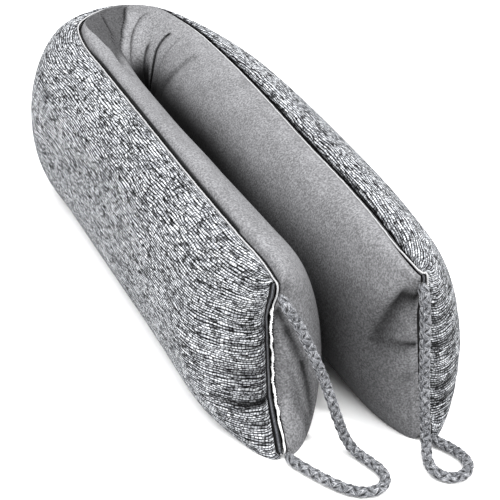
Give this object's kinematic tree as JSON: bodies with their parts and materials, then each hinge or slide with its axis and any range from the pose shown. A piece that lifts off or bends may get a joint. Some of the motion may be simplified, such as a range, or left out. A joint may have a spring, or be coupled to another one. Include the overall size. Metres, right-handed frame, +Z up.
{
  "type": "draught excluder",
  "caption": "Long filled draught excluder folded in half on its side, velvet inwards and coarse melange cloth outwards, with a braided rope handle at each end.",
  "frame": {"origin": "on the floor, under the middle of the cushion's box without its rope handles", "axes": "+Z up, the folded arms run along Y with the fold at +Y and the open ends at -Y, +X from the left arm to the right arm"},
  "size_m": [0.1879, 0.5071, 0.1275],
  "materials": {
    "velvet": "short soft pile, mid grey",
    "linen": "coarse melange weave, grey, black and white",
    "tape": "plain dark grey tape",
    "piping": "thin pale piping",
    "rope": "round braid of marled grey yarn"
  },
  "bodies": {
    "root": {"filled_body": "velvet", "linen_panel": "linen", "end_tape_left": "tape", "end_tape_right": "tape", "seam_piping": "piping", "rope_handle_left": "rope", "rope_handle_right": "rope"}
  },
  "joints": []
}
